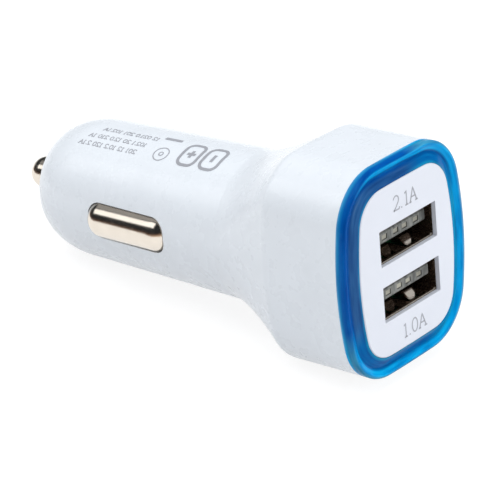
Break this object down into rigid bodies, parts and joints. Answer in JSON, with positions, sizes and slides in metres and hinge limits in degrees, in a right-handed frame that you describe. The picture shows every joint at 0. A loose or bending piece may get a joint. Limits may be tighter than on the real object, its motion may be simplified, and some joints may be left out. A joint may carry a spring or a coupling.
{
  "type": "usb car charger",
  "caption": "Car socket charger with a rounded block head, a blue light ring round two stacked USB sockets, and a tapered plug with sprung contacts.",
  "frame": {"origin": "centre of the white front face, on the plug axis", "axes": "+Y along the plug axis to the centre pin; -Y out of the USB sockets; +Z from the lower socket to the upper one; +X to the right seen from the front"},
  "size_m": [0.0272, 0.0705, 0.0308],
  "materials": {
    "housing_white": "polished white moulding",
    "ring_blue": "clear blue, polished",
    "plate_white": "satin white moulding",
    "nickel": "polished nickel plate",
    "socket_steel": "drawn steel",
    "socket_plastic": "matt grey",
    "socket_contacts": "plated",
    "board_green": "solder mask",
    "lamp_lens": "clear resin",
    "brass": "plain",
    "spring_steel": "bright wire",
    "ferrite": "matt ferrite",
    "copper": "enamelled copper wire",
    "can_sleeve": "sleeved aluminium can",
    "chip_black": "moulded resin",
    "ceramic": "fired ceramic"
  },
  "bodies": {
    "charger": {"housing": "housing_white", "light_ring": "ring_blue", "face_plate": "plate_white", "usb_shell_upper": "socket_steel", "usb_shell_lower": "socket_steel", "usb_tongue_upper": "socket_plastic", "usb_tongue_lower": "socket_plastic", "usb_contacts_upper": "socket_contacts", "usb_contacts_lower": "socket_contacts", "main_board": "board_green", "lamp_board": "board_green", "lamps": "lamp_lens", "tip_spring": "spring_steel", "tip_terminal": "brass", "side_spring_right": "spring_steel", "side_spring_left": "spring_steel", "choke_core": "ferrite", "choke_winding": "copper", "input_capacitor": "can_sleeve", "output_capacitor": "can_sleeve", "converter_chip": "chip_black", "rectifier_diode": "chip_black", "fuse": "ceramic", "resistors": "ceramic"},
    "centre_pin": {"tip_contact": "nickel"},
    "right_contact": {"side_contact_right": "nickel"},
    "left_contact": {"side_contact_left": "nickel"}
  },
  "joints": [
    {"name": "centre_pin_press", "type": "slide", "parent": "charger", "child": "centre_pin", "axis": [0, -1, 0], "range_m": [0, 0.003], "stiffness_N_per_m": 1500, "springref_m": -0.001, "deforming": ["tip_spring"]},
    {"name": "right_contact_press", "type": "slide", "parent": "charger", "child": "right_contact", "axis": [-1, 0, 0], "range_m": [0, 0.0012], "stiffness_N_per_m": 2000, "springref_m": -0.0006, "deforming": ["side_spring_right"]},
    {"name": "left_contact_press", "type": "slide", "parent": "charger", "child": "left_contact", "axis": [1, 0, 0], "range_m": [0, 0.0012], "stiffness_N_per_m": 2000, "springref_m": -0.0006, "deforming": ["side_spring_left"]}
  ]
}
